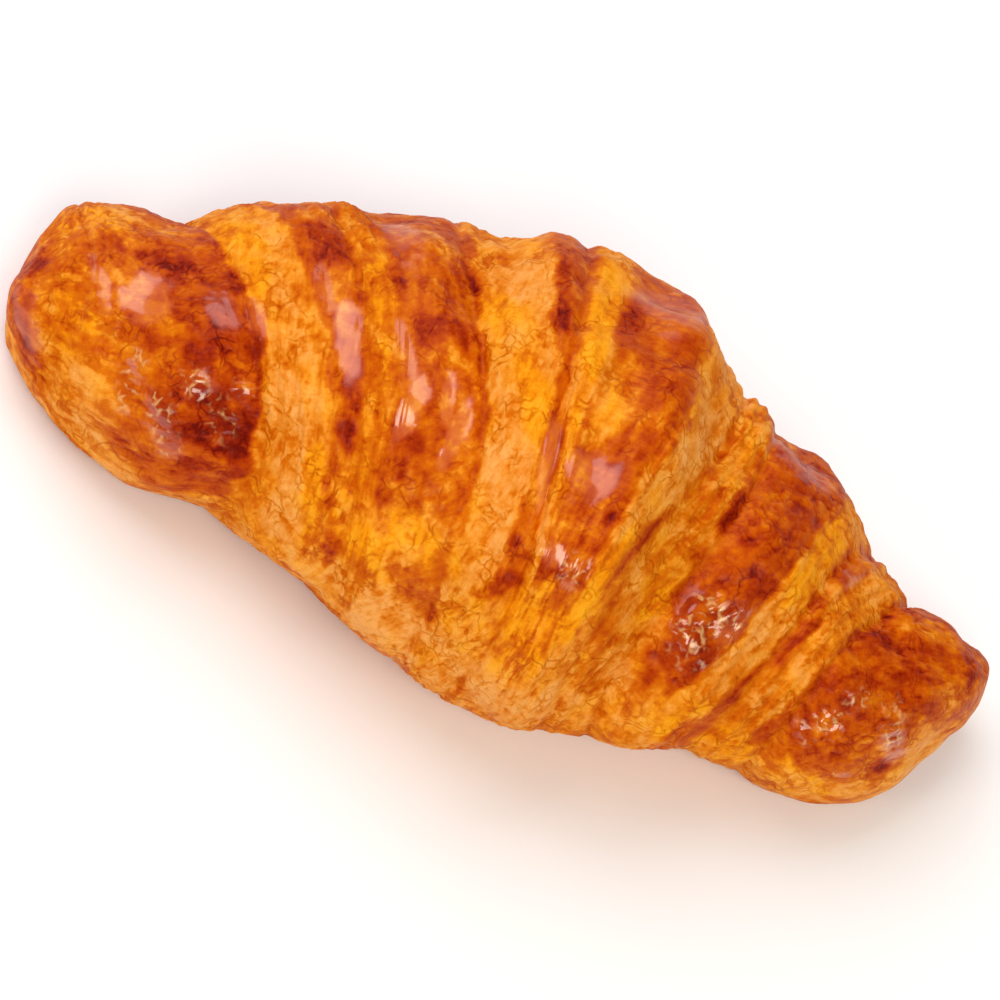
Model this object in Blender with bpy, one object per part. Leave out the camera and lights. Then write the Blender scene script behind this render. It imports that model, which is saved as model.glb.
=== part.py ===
"""A mini butter croissant: a triangle of layered dough, rolled up and baked, as one solid.

The part's frame has +X along the roll, -Y to the front, +Z up, and the baked-flat underside on z = 0, with
the origin under the middle of the box that holds the croissant.
The surface is a grid of rings. A ring's place along the ridge is its station; its angle runs from the
front (0) over the ridge (90) and the back (180) to the underside (270). The rings lean, so that they
follow the cut edges of the dough, which fan out from the middle of the front.
Everything is worked out in millimetres and scaled to metres when the mesh is made.
"""

import math

import bmesh
import bpy
import numpy as np

MM = 0.001

# Driving dimensions, in millimetres.
LEFT_END = -48.3
RIGHT_END = 46.5
MIDDLE_HALF_WIDTH = 21.3
CENTRE_HEIGHT_SHARE = 0.652   # height of the roll's own axis, as a share of the local half width
RISE_SHARE = 0.826            # height of the ridge above that axis, as a share of the local half width
FLAT_ROUNDING = 0.7           # how softly the side turns into the flat underside
LEFT_CAP = 5.5                # length of the rounded blunt end on the left
RIGHT_CAP = 5.5
BLUNTNESS = 2.5               # 2 rounds an end as an ellipse does, and more squares it off

# The outline: place along the roll, half width, and how far the roll's axis bends to the back.
OUTLINE = (
    (LEFT_END, 7.9, 2.0),
    (-43.0, 9.7, 1.4),
    (-37.0, 11.7, 0.3),
    (-31.0, 14.2, 0.5),
    (-24.5, 15.6, 1.6),
    (-18.0, 17.7, 2.3),
    (-11.0, 19.3, 1.2),
    (-4.0, 20.9, 0.0),
    (3.0, MIDDLE_HALF_WIDTH, -0.5),
    (8.5, 21.0, -0.5),
    (13.0, 18.0, -0.5),
    (19.0, 16.9, -0.9),
    (27.0, 13.9, -0.5),
    (33.0, 12.2, -2.1),
    (39.0, 10.5, -1.6),
    (RIGHT_END, 8.5, -0.3),
)

# How far a ring leans along the roll, from the ridge to the front, at places along the ridge.
LEAN = (
    (LEFT_END, -0.5),
    (-43.0, 2.8),
    (-31.0, 7.6),
    (-21.0, 8.0),
    (-9.0, 6.0),
    (1.0, 2.0),
    (9.0, -3.0),
    (17.0, -3.2),
    (26.0, -4.5),
    (34.0, -4.5),
    (42.5, -5.0),
    (RIGHT_END, -4.0),
)

# The cut edges of the dough, seen from the left end to the right: the foot of the cut, where it meets the
# turn below it, its rim, where the turn's own top starts, how high it stands, and the layers that show in it.
CUT_EDGES = {
    "left_end": (-43.6, -41.4, 0.3, 1),
    "left_outer": (-30.0, -23.2, 1.7, 4),
    "left_inner": (-20.6, -16.9, 1.0, 3),
    "left_middle": (-9.5, -2.8, 1.6, 4),
    "left_last": (-1.2, 0.6, 0.7, 1),
    "right_last": (12.8, 8.5, 1.2, 3),
    "right_middle": (17.2, 13.2, 1.5, 3),
    "right_inner": (28.3, 24.2, 1.1, 3),
    "right_outer": (33.4, 28.6, 1.5, 3),
}

# Swellings and hollows of the outline: place along the roll, angle in degrees, reach along it, and height.
LUMPS = {
    "second_turn_back": (-26.0, 138, 3.2, 1.35),
    "behind_second_turn": (-20.8, 138, 2.6, -1.35),
    "first_turn_back": (-14.8, 140, 2.4, 0.9),
    "behind_first_turn": (-10.3, 140, 2.4, -0.8),
    "middle_cut_back": (-5.6, 142, 2.4, 0.55),
    "right_cuts_back": (12.8, 142, 2.6, 0.6),
    "right_turn_back": (18.2, 140, 2.0, 0.7),
    "second_turn_foot": (-32.0, -32, 3.0, 0.3),
    "middle_cut_foot": (-4.4, -32, 2.4, 0.35),
    "right_cuts_foot": (14.0, -32, 3.2, 0.9),
    "right_turn_foot": (21.5, -32, 3.2, -1.3),
    "right_tip_foot": (42.0, -32, 3.0, 0.65),
}
LUMP_SPREAD = math.radians(32)

CREASE_DEPTH = 0.3            # groove where a cut edge meets the turn below it
CREASE_WIDTH = 0.7
LAYER_LIP = 0.14              # how far each baked layer stands out of a cut edge, and its groove sinks in
LAYER_STEP = 0.3              # share of a layer that its steep front takes
RIM_FADE = 5.0                # length over which a raised rim sinks back to the outline
FOOT_FADE = 3.5
STEP_CHANGE = 0.25            # share by which a step's height comes and goes round the roll
RELIEF_AT_TRAY = 0.3          # share of the relief that is left where the crust meets the tray
WANDER = 0.5                  # how far the cut edges stray from their lean

BLISTER_SEED = 7
BLISTERS = ((11.0, 0.32), (5.5, 0.14))   # wave length and height of the crust's unevenness
SWIRL_TURNS = 2.2             # turns of the roll that show on a blunt end
SWIRL_DEPTH = 0.55

# The mesh.
AROUND = 54
UNDERSIDE_SPREAD = 0.34       # rings have wider gaps between points on the hidden underside
CAP_RINGS = 7
WIDEST_GAP = 2.2              # between rings on the smooth tops


def through(points, column, x):
    """A smooth curve through the points' values, with the mean slope of its neighbours at each point."""
    table = np.array(points)
    xs, values = table[:, 0], table[:, column]
    slopes = np.gradient(values, xs)
    i = np.clip(np.searchsorted(xs, x) - 1, 0, len(xs) - 2)
    gap = xs[i + 1] - xs[i]
    t = (x - xs[i]) / gap
    start = (2 * t**3 - 3 * t**2 + 1) * values[i] + (t**3 - 2 * t**2 + t) * gap * slopes[i]
    end = (3 * t**2 - 2 * t**3) * values[i + 1] + (t**3 - t**2) * gap * slopes[i + 1]
    return start + end


def end_rounding(station):
    """1 along the roll, falling to 0 at each end as a blunted quarter circle does."""
    left = np.clip((LEFT_END + LEFT_CAP - station) / LEFT_CAP, 0, 1)
    right = np.clip((station - RIGHT_END + RIGHT_CAP) / RIGHT_CAP, 0, 1)
    return ((1 - left**BLUNTNESS) * (1 - right**BLUNTNESS)) ** (1 / BLUNTNESS)


def unevenness(points, wave_length, seed):
    """A smooth random height at each point: the sum of waves in seeded random directions."""
    draw = np.random.default_rng(seed)
    waves = 18
    directions = draw.normal(size=(waves, 3))
    directions /= np.linalg.norm(directions, axis=1)[:, None]
    lengths = wave_length * draw.uniform(0.7, 1.5, waves)
    offsets = draw.uniform(0, 2 * math.pi, waves)
    phase = points @ (directions * (2 * math.pi / lengths)[:, None]).T + offsets
    return np.sin(phase).sum(axis=-1) * math.sqrt(2 / waves)


def cut_edge_relief(station, angle, foot, rim, height, layers):
    """The step up from the foot of one cut edge to its rim, with its layers, fading out to either side."""
    width = abs(rim - foot)
    along = (station - foot) * math.copysign(1, rim - foot)
    t = np.clip(along / width, 0, 1)
    below = np.clip(-along, 0, None) / FOOT_FADE
    beyond = np.clip(along - width, 0, None) / RIM_FADE
    depth = CREASE_DEPTH * min(1, height)
    height = height * (1 + STEP_CHANGE * np.sin(2 * angle + foot))
    step = height * (np.sin(t * math.pi / 2) - 0.5) * np.exp(-(below**2) - beyond**2)
    in_layer = (t * layers) % 1
    lips = np.interp(in_layer, (0, LAYER_STEP, 1), (-LAYER_LIP, LAYER_LIP, -LAYER_LIP)) * (t > 0) * (t < 1)
    crease = -depth * np.exp(-((along / CREASE_WIDTH) ** 2))
    return step + lips + crease


def lump_relief(x, angle):
    """The swellings and hollows of the outline, each a bell along the roll and round it."""
    total = np.zeros(np.shape(x))
    for place, middle, reach, height in LUMPS.values():
        turn = np.remainder(angle - math.radians(middle) + math.pi, 2 * math.pi) - math.pi
        total = total + height * np.exp(-(((x - place) / reach) ** 2) - (turn / LUMP_SPREAD) ** 2)
    return total


def above_tray(angle):
    """The share of the relief that shows: all of it on the upper part, and little where the tray holds the dough."""
    climb = np.clip((np.sin(angle) + 0.75) / 0.9, 0, 1)
    return RELIEF_AT_TRAY + (1 - RELIEF_AT_TRAY) * climb**2 * (3 - 2 * climb)


def swirl(station, angle, rounding):
    """The rolled-up turns that show as a spiral groove on the blunt ends."""
    at_end = np.clip((1 - rounding) / 0.5, 0, 1) * rounding
    return -SWIRL_DEPTH * at_end * (1 + np.cos(2 * math.pi * SWIRL_TURNS * rounding - angle * np.sign(station)))


def flatten(height):
    """Heights below the tray's level come up to 0, with a soft turn."""
    turn = (height + FLAT_ROUNDING) ** 2 / (4 * FLAT_ROUNDING)
    return np.where(height > FLAT_ROUNDING, height, np.where(height < -FLAT_ROUNDING, 0, turn))


def crust_points(station, angle):
    """Points of the crust, in millimetres, for arrays of stations and angles."""
    station, angle = np.broadcast_arrays(station, angle)
    rounding = end_rounding(station)
    stray = WANDER * np.sin(3 * angle + station / 5)
    x = station + (through(LEAN, 1, station) * np.cos(angle) + stray) * rounding
    at = np.clip(x, LEFT_END, RIGHT_END)
    half_width = through(OUTLINE, 1, at)
    bend = through(OUTLINE, 2, at)
    centre_height = CENTRE_HEIGHT_SHARE * half_width

    smooth = np.stack((x, -half_width * np.cos(angle), half_width * np.sin(angle)), axis=-1)
    relief = sum(cut_edge_relief(station, angle, *edge) for edge in CUT_EDGES.values())
    for order, (wave_length, height) in enumerate(BLISTERS):
        relief = relief + height * unevenness(smooth, wave_length, BLISTER_SEED + order)
    relief = relief * above_tray(angle) + lump_relief(x, angle)
    relief = relief * rounding + swirl(station, angle, rounding)

    y = bend - (half_width * rounding + relief) * np.cos(angle)
    z = centre_height + (RISE_SHARE * half_width * rounding + relief) * np.sin(angle)
    return np.stack((x, y, flatten(z)), axis=-1)


def ring_stations():
    """Where the rings stand: close on the blunt ends and the cut edges, wider on the smooth tops."""
    turn = np.linspace(0, math.pi / 2, CAP_RINGS + 1)[1:-1]
    left = LEFT_END + LEFT_CAP * (1 - np.cos(turn))
    right = RIGHT_END - RIGHT_CAP * (1 - np.cos(turn))
    marks = [LEFT_END + LEFT_CAP, RIGHT_END - RIGHT_CAP]
    for foot, rim, _, layers in CUT_EDGES.values():
        layer = (rim - foot) / layers
        for k in range(layers):
            marks.append(foot + k * layer)
            marks.append(foot + (k + LAYER_STEP) * layer)
        marks.append(rim)
        marks.append(foot - math.copysign(CREASE_WIDTH, layer))
    marks = sorted(marks)
    body = [marks[0]]
    for mark in marks[1:]:
        gap = mark - body[-1]
        if gap < CREASE_WIDTH / 2:
            continue
        pieces = math.ceil(gap / WIDEST_GAP)
        body += [body[-1] + gap * (k + 1) / pieces for k in range(pieces)]
    return np.concatenate((left, body, right[::-1]))


def build_croissant(material):
    """The rings joined by faces, each end closed on its own middle point."""
    turn = np.arange(AROUND) * 2 * math.pi / AROUND
    angles = turn + UNDERSIDE_SPREAD * np.cos(turn)
    stations = ring_stations()
    rings = crust_points(stations[:, None], angles[None, :])
    ends = crust_points(np.array([LEFT_END, RIGHT_END]), np.zeros(2))
    everywhere = np.concatenate((rings.reshape(-1, 3), ends))
    middle = (everywhere.min(axis=0) + everywhere.max(axis=0)) / 2 * (1, 1, 0)

    mesh_data = bmesh.new()
    loops = [[mesh_data.verts.new((point - middle) * MM) for point in ring] for ring in rings]
    tips = [mesh_data.verts.new((point - middle) * MM) for point in ends]
    for left, right in zip(loops, loops[1:]):
        for k in range(AROUND):
            after = (k + 1) % AROUND
            mesh_data.faces.new((left[k], left[after], right[after], right[k]))
    for k in range(AROUND):
        after = (k + 1) % AROUND
        mesh_data.faces.new((tips[0], loops[0][after], loops[0][k]))
        mesh_data.faces.new((tips[1], loops[-1][k], loops[-1][after]))
    bmesh.ops.recalc_face_normals(mesh_data, faces=mesh_data.faces)

    mesh = bpy.data.meshes.new("croissant")
    mesh_data.to_mesh(mesh)
    mesh_data.free()
    mesh.shade_smooth()
    mesh.set_sharp_from_angle(angle=math.radians(50))
    mesh.materials.append(material)
    croissant = bpy.data.objects.new("croissant", mesh)
    bpy.context.scene.collection.objects.link(croissant)
    return croissant


def baked_crust():
    """The egg-washed crust: a golden brown with a soft gloss."""
    material = bpy.data.materials.new("baked_crust")
    material.use_nodes = True
    shader = material.node_tree.nodes["Principled BSDF"]
    shader.inputs["Base Color"].default_value = (0.64, 0.19, 0.02, 1)
    shader.inputs["Roughness"].default_value = 0.42
    shader.inputs["Metallic"].default_value = 0.0
    return material


def main():
    for old in list(bpy.data.objects):
        bpy.data.objects.remove(old)
    build_croissant(baked_crust())


main()
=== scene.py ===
"""The looks of a mini croissant: its browned, egg-washed crust, on a plain pale floor in soft light.

The crust is one grid of rings. A ring's station is its place along the ridge, and its angle runs from the
front (0) over the ridge (90) and the back (180) to the underside (270). The large shape repeats the model's
own formulas, in millimetres, and this script adds the fine relief, the browning and the glaze.
"""

import itertools
import math

import bpy
import numpy as np
from mathutils import Matrix, Vector


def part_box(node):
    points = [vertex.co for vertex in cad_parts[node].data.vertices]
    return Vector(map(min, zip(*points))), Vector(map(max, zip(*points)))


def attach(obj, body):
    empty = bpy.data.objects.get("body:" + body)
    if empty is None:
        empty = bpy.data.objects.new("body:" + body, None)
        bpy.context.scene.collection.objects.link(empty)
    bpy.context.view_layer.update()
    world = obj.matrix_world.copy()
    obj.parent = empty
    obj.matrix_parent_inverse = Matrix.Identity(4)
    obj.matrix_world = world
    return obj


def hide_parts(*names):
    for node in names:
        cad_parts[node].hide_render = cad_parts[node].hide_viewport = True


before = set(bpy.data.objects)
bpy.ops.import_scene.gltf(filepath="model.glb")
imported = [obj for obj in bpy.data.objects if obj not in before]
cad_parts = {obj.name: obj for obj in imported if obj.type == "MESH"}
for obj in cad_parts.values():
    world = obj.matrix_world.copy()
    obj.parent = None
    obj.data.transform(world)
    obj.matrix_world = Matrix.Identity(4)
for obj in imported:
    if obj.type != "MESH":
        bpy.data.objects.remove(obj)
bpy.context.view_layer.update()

MM = 0.001

# The large shape, in millimetres, as the model has it.
LEFT_END = -48.3
RIGHT_END = 46.5
CENTRE_HEIGHT_SHARE = 0.652
RISE_SHARE = 0.826
FLAT_ROUNDING = 0.7
LEFT_CAP = 5.5
RIGHT_CAP = 5.5
BLUNTNESS = 2.5

# Place along the roll, half width, and how far the roll's axis bends to the back.
OUTLINE = (
    (LEFT_END, 7.9, 2.0),
    (-43.0, 9.7, 1.4),
    (-37.0, 11.7, 0.3),
    (-31.0, 14.2, 0.5),
    (-24.5, 15.6, 1.6),
    (-18.0, 17.7, 2.3),
    (-11.0, 19.3, 1.2),
    (-4.0, 20.9, 0.0),
    (3.0, 21.3, -0.5),
    (8.5, 21.0, -0.5),
    (13.0, 18.0, -0.5),
    (19.0, 16.9, -0.9),
    (27.0, 13.9, -0.5),
    (33.0, 12.2, -2.1),
    (39.0, 10.5, -1.6),
    (RIGHT_END, 8.5, -0.3),
)

# How far a ring leans along the roll, from the ridge to the front, at places along the ridge.
LEAN = (
    (LEFT_END, -0.5),
    (-43.0, 2.8),
    (-31.0, 7.6),
    (-21.0, 8.0),
    (-9.0, 6.0),
    (1.0, 2.0),
    (9.0, -3.0),
    (17.0, -3.2),
    (26.0, -4.5),
    (34.0, -4.5),
    (42.5, -5.0),
    (RIGHT_END, -4.0),
)

# The cut edges of the dough: foot, rim, height and the layers that show.
CUT_EDGES = {
    "left_end": (-43.6, -41.4, 0.3, 1),
    "left_outer": (-30.0, -23.2, 1.7, 4),
    "left_inner": (-20.6, -16.9, 1.0, 3),
    "left_middle": (-9.5, -2.8, 1.6, 4),
    "left_last": (-1.2, 0.6, 0.7, 1),
    "right_last": (12.8, 8.5, 1.2, 3),
    "right_middle": (17.2, 13.2, 1.5, 3),
    "right_inner": (28.3, 24.2, 1.1, 3),
    "right_outer": (33.4, 28.6, 1.5, 3),
}

# Swellings and hollows of the outline: place along the roll, angle in degrees, reach along it, and height.
LUMPS = {
    "second_turn_back": (-26.0, 138, 3.2, 1.35),
    "behind_second_turn": (-20.8, 138, 2.6, -1.35),
    "first_turn_back": (-14.8, 140, 2.4, 0.9),
    "behind_first_turn": (-10.3, 140, 2.4, -0.8),
    "middle_cut_back": (-5.6, 142, 2.4, 0.55),
    "right_cuts_back": (12.8, 142, 2.6, 0.6),
    "right_turn_back": (18.2, 140, 2.0, 0.7),
    "second_turn_foot": (-32.0, -32, 3.0, 0.3),
    "middle_cut_foot": (-4.4, -32, 2.4, 0.35),
    "right_cuts_foot": (14.0, -32, 3.2, 0.9),
    "right_turn_foot": (21.5, -32, 3.2, -1.3),
    "right_tip_foot": (42.0, -32, 3.0, 0.65),
}
LUMP_SPREAD = math.radians(32)

CREASE_DEPTH = 0.3
CREASE_WIDTH = 0.7
LAYER_LIP = 0.14
LAYER_STEP = 0.3
RIM_FADE = 5.0
FOOT_FADE = 3.5
STEP_CHANGE = 0.25
RELIEF_AT_TRAY = 0.3
TRAY_START = -0.75
TRAY_SPAN = 0.9
WANDER = 0.5
BLISTER_SEED = 7
BLISTERS = ((11.0, 0.32), (5.5, 0.14))
SWIRL_TURNS = 2.2
SWIRL_DEPTH = 0.55
SWIRL_BLEND = 0.5

# The pale cut bands: at some angles, where each starts and ends along the ridge, which shifts as turns sag.
BANDS = {
    "left_end": (
        (-20, -43.6, -39.8), (10, -45.0, -42.0), (60, -46.6, -43.6), (110, -47.4, -45.2), (140, -47.6, -45.8),
    ),
    "left_outer": (
        (-20, -30.4, -25.0), (10, -30.8, -24.2), (30, -30.5, -23.5), (50, -29.9, -23.3),
        (72, -28.6, -23.7), (92, -29.6, -24.2), (125, -30.2, -26.0),
    ),
    "left_inner": (
        (-20, -20.6, -17.5), (40, -20.8, -18.0), (60, -20.6, -18.2), (95, -20.4, -18.4), (140, -20.2, -17.4),
    ),
    "left_middle": (
        (-20, -7.5, 0.0), (5, -8.6, -1.2), (30, -9.6, -4.6), (50, -9.6, -4.8), (80, -9.2, -2.4),
        (100, -8.9, -3.6), (125, -8.9, -4.3),
    ),
    "left_last": (
        (0, -1.2, 0.2), (60, -1.2, 0.0), (78, -1.1, 1.2), (110, -1.0, 1.5), (140, -0.8, 1.5),
    ),
    "right_last": (
        (-20, 8.6, 12.6), (15, 9.2, 11.6), (40, 8.6, 11.4), (60, 8.8, 11.7), (80, 9.5, 12.5),
        (100, 8.3, 12.7), (125, 7.4, 12.6),
    ),
    "right_middle": (
        (-10, 12.6, 20.0), (20, 12.0, 19.0), (40, 12.0, 18.2), (60, 12.6, 16.9), (80, 13.1, 16.0),
        (125, 13.1, 15.9),
    ),
    "right_inner": (
        (0, 20.4, 24.4), (20, 22.8, 26.2), (40, 24.0, 27.6), (60, 24.4, 28.6), (80, 24.6, 28.4),
        (100, 25.3, 28.3), (130, 25.3, 28.0),
    ),
    "right_outer": (
        (0, 27.4, 33.0), (20, 27.6, 31.4), (40, 28.4, 32.5), (60, 30.0, 33.2), (100, 30.4, 33.2),
        (130, 29.6, 33.2),
    ),
}
BAND_BROWNING = {
    "left_end": 0.36,
    "left_outer": 0.19,
    "left_inner": 0.34,
    "left_middle": 0.17,
    "left_last": 0.16,
    "right_last": 0.17,
    "right_middle": 0.26,
    "right_inner": 0.20,
    "right_outer": 0.24,
}

# How browned the tops of the turns are, at places along the ridge.
TOPS = (
    (LEFT_END, 0.46),
    (-45.0, 0.40),
    (-41.0, 0.42),
    (-36.0, 0.55),
    (-31.0, 0.62),
    (-22.0, 0.48),
    (-16.0, 0.50),
    (-10.0, 0.50),
    (-2.0, 0.42),
    (3.0, 0.46),
    (8.0, 0.50),
    (14.0, 0.36),
    (19.0, 0.58),
    (24.0, 0.58),
    (30.0, 0.50),
    (36.0, 0.60),
    (42.0, 0.56),
    (RIGHT_END, 0.40),
)

# Patches of browning: place along the ridge, angle, reach along and in degrees round, slant (millimetres
# along for each ten degrees round), and how much browner (or, below zero, paler) the patch is.
PATCHES = (
    # The left end and the turn beside it.
    (-47.4, 78, 1.2, 24, 0.0, 0.34),
    (-45.4, 12, 1.3, 28, -0.45, 0.36),
    (-41.8, 22, 2.6, 26, 0.0, -0.10),
    (-38.0, 124, 6.5, 15, 0.0, -0.26),
    (-34.6, 84, 4.4, 22, 0.0, 0.12),
    (-36.2, 97, 3.8, 5, -0.3, 0.15),
    (-40.6, 101, 1.4, 4, 0.0, 0.18),
    (-32.4, 66, 2.8, 6, 1.0, 0.16),
    (-34.2, 36, 4.2, 16, 0.0, 0.20),
    (-36.8, 38, 1.3, 9, 0.0, 0.20),
    (-34.0, 43, 1.4, 6, 0.0, 0.24),
    (-34.4, 28, 0.9, 5, 0.0, 0.20),
    (-31.7, 34, 1.0, 12, 0.0, 0.26),
    (-33.8, 7, 4.0, 16, 0.4, 0.22),
    (-38.2, 9, 0.5, 3, 0.0, 0.22),
    (-40.0, -12, 5.0, 9, 0.0, -0.14),
    # The dark streak of the next turn.
    (-22.8, 109, 1.9, 9, 0.3, 0.42),
    (-22.6, 88, 1.0, 8, 0.0, -0.10),
    (-21.6, 60, 0.9, 12, -0.1, 0.36),
    (-21.7, 47, 1.2, 5, 0.0, 0.44),
    (-21.2, 28, 2.6, 13, 0.0, -0.20),
    (-22.7, 26, 0.7, 3, 0.3, 0.26),
    (-21.6, 14, 0.9, 4, 0.0, 0.26),
    (-21.0, -4, 3.6, 12, 0.0, -0.28),
    # The third turn on the left.
    (-13.6, 88, 3.6, 16, 0.0, 0.10),
    (-17.6, 98, 0.8, 6, 0.0, 0.26),
    (-12.4, 80, 2.2, 2, 0.6, -0.26),
    (-14.6, 56, 4.0, 4, 0.0, 0.12),
    (-14.4, 39, 1.0, 2, 0.0, 0.22),
    (-16.1, 46, 0.5, 5, 0.3, 0.18),
    (-15.4, 53, 0.9, 3, 0.0, 0.26),
    (-17.8, 35, 0.8, 3, 0.5, 0.26),
    (-15.0, 26, 6.0, 12, 0.0, -0.26),
    (-11.4, 18, 3.2, 6, -1.6, 0.18),
    (-15.0, -2, 7.0, 12, 0.0, -0.30),
    (-9.2, 110, 0.5, 3, 0.0, 0.50),
    (-9.2, 95, 0.3, 10, 0.0, 0.16),
    # Beside the middle cut.
    (-3.0, 108, 0.6, 15, -0.2, 0.40),
    (-2.5, 100, 0.8, 5, 0.4, 0.30),
    (-2.0, 84, 0.5, 9, 0.3, 0.26),
    (-3.8, 45, 0.9, 3, 1.5, 0.40),
    (-8.5, 11, 0.7, 6, 0.3, 0.28),
    (-7.0, 20, 1.5, 4, 2.0, 0.20),
    (-5.4, 30, 1.4, 4, 2.0, 0.22),
    (-2.8, 36, 1.9, 2, 3.0, 0.28),
    (1.6, 43, 3.2, 3, 3.0, 0.18),
    (-0.8, 70, 0.3, 9, 0.0, 0.30),
    (-3.0, 2, 5.0, 9, 0.0, -0.14),
    # The middle turn.
    (2.3, 110, 0.9, 16, -0.1, 0.38),
    (6.6, 98, 2.0, 18, 0.0, 0.10),
    (7.6, 80, 1.3, 12, 0.6, 0.16),
    (3.2, 82, 1.9, 7, 0.0, -0.30),
    (3.9, 71, 2.6, 1.4, 0.0, 0.30),
    (3.6, 65, 3.4, 5, 0.0, 0.08),
    (8.0, 59, 1.1, 2, 0.0, 0.26),
    (7.2, 52, 1.3, 2, 0.0, 0.26),
    (3.0, 46, 5.0, 4, 0.0, 0.10),
    (4.0, 26, 7.0, 12, 0.0, -0.22),
    (4.0, 2, 9.0, 12, 0.0, -0.30),
    # The cuts on the right.
    (11.8, 60, 0.4, 11, 0.2, 0.38),
    (14.0, 75, 0.7, 3, -1.0, 0.26),
    (13.8, 57, 0.6, 2, 0.0, 0.20),
    (15.4, 67, 1.2, 4, 0.0, 0.26),
    (12.4, 22, 0.5, 14, 1.2, 0.14),
    # The next turn on the right.
    (16.6, 88, 0.6, 15, 0.0, 0.36),
    (22.6, 100, 1.8, 4, 1.0, 0.14),
    (22.9, 79, 1.7, 3, 0.0, 0.20),
    (22.6, 71, 1.8, 2, -2.0, 0.18),
    (19.4, 78, 1.0, 2, 0.0, 0.20),
    (20.4, 92, 3.4, 18, 0.0, 0.08),
    (21.2, 48, 2.8, 12, 0.0, 0.12),
    (22.8, 37, 1.2, 5, 0.0, 0.26),
    (19.5, 12, 5.0, 14, 0.0, -0.26),
    # The next four are dark lines down the creases of the right cuts, painted shade.
    (26.9, 29, 0.9, 3, 1.6, 0.34),
    (27.4, 37, 0.5, 7, 0.8, 0.30),
    (29.7, 62, 0.6, 15, 0.2, 0.34),
    (28.2, 72, 0.3, 12, 0.0, 0.24),
    (27.6, 11, 1.4, 4, 0.0, 0.24),
    # A dark hole, painted shade.
    (33.3, 111, 0.6, 2, 0.0, 0.60),
    # The right tip.
    (38.0, 86, 5.0, 22, 0.0, 0.08),
    (36.0, 93, 2.0, 5, -1.0, 0.14),
    (40.0, 87, 1.3, 3, -1.0, 0.20),
    (43.2, 106, 0.8, 9, -0.3, 0.28),
    (43.8, 70, 1.3, 5, 0.0, 0.14),
    (34.2, 44, 0.9, 22, 0.0, 0.14),
    (44.2, 24, 0.5, 8, -0.3, 0.40),
    (39.0, 0, 7.0, 14, 0.0, -0.26),
    (38.0, 118, 3.0, 8, 0.0, -0.14),
    (46.0, 30, 1.3, 46, 0.0, -0.30),
)

# Pools of glaze that dried smooth, tinted salmon by the material as a painted sheen: place along the ridge,
# angle, reach along and round, slant, and how thick.
SMOOTH_GLAZE = (
    (-42.5, 74, 0.8, 13, -0.75, 0.8),
    (-38.6, 76, 2.1, 16, 0.9, 1.0),
    (-32.0, 76, 1.7, 7, 0.0, 0.7),
    (-29.2, 76, 0.8, 7, 0.0, 0.6),
    (-23.5, 90, 0.7, 8, 0.0, 0.5),
    (-21.9, 74, 1.1, 12, 0.0, 1.0),
    (-17.4, 76, 0.6, 8, -0.9, 0.8),
    (-16.4, 61, 0.9, 9, 1.2, 1.0),
    (-13.3, 69, 0.7, 7, 0.1, 1.0),
    (-11.9, 62, 0.8, 11, 1.0, 1.0),
    (-2.0, 66, 0.9, 11, 0.0, 1.0),
    (3.6, 67, 2.8, 6, 0.0, 0.9),
    (1.6, 47, 2.4, 3, 0.0, 0.9),
    (-15.6, 118, 1.6, 20, 0.5, 0.3),
    (4.5, 126, 2.6, 12, 0.0, 0.3),
    (20.0, 123, 4.0, 10, 0.0, 0.3),
    (29.6, 106, 0.6, 14, 0.2, 0.5),
    (23.2, 52, 1.3, 7, 0.0, 0.6),
    (-46.0, 30, 1.0, 26, -0.45, 0.6),
)

# Crinkled glaze that glints, in the same form. The material draws cream lines on it, partly pale flake and
# partly a painted highlight.
GLINTS = (
    (-39.3, 41, 0.8, 14, 0.0, 1.0),
    (-37.0, 34, 1.1, 9, -0.4, 1.0),
    (-35.0, 47, 1.1, 6, 0.0, 1.0),
    (-36.0, 20, 0.9, 7, -0.8, 0.8),
    (-32.9, 36, 1.0, 9, 0.0, 0.9),
    (-31.4, 50, 0.9, 3, 0.0, 0.9),
    (6.6, 45, 2.4, 4, 0.0, 0.9),
    (19.4, 55, 1.6, 5, 0.0, 1.0),
    (21.2, 47, 2.6, 11, 0.0, 1.0),
    (22.6, 52, 1.4, 6, 0.0, 1.0),
    (36.8, 43, 1.7, 9, 0.0, 1.0),
    (38.6, 60, 2.0, 5, 0.0, 0.9),
    (43.0, 48, 0.9, 18, -1.0, 1.0),
    (35.2, 30, 1.2, 5, 0.0, 0.8),
    (41.4, 18, 0.9, 3, 0.0, 0.8),
)

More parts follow.
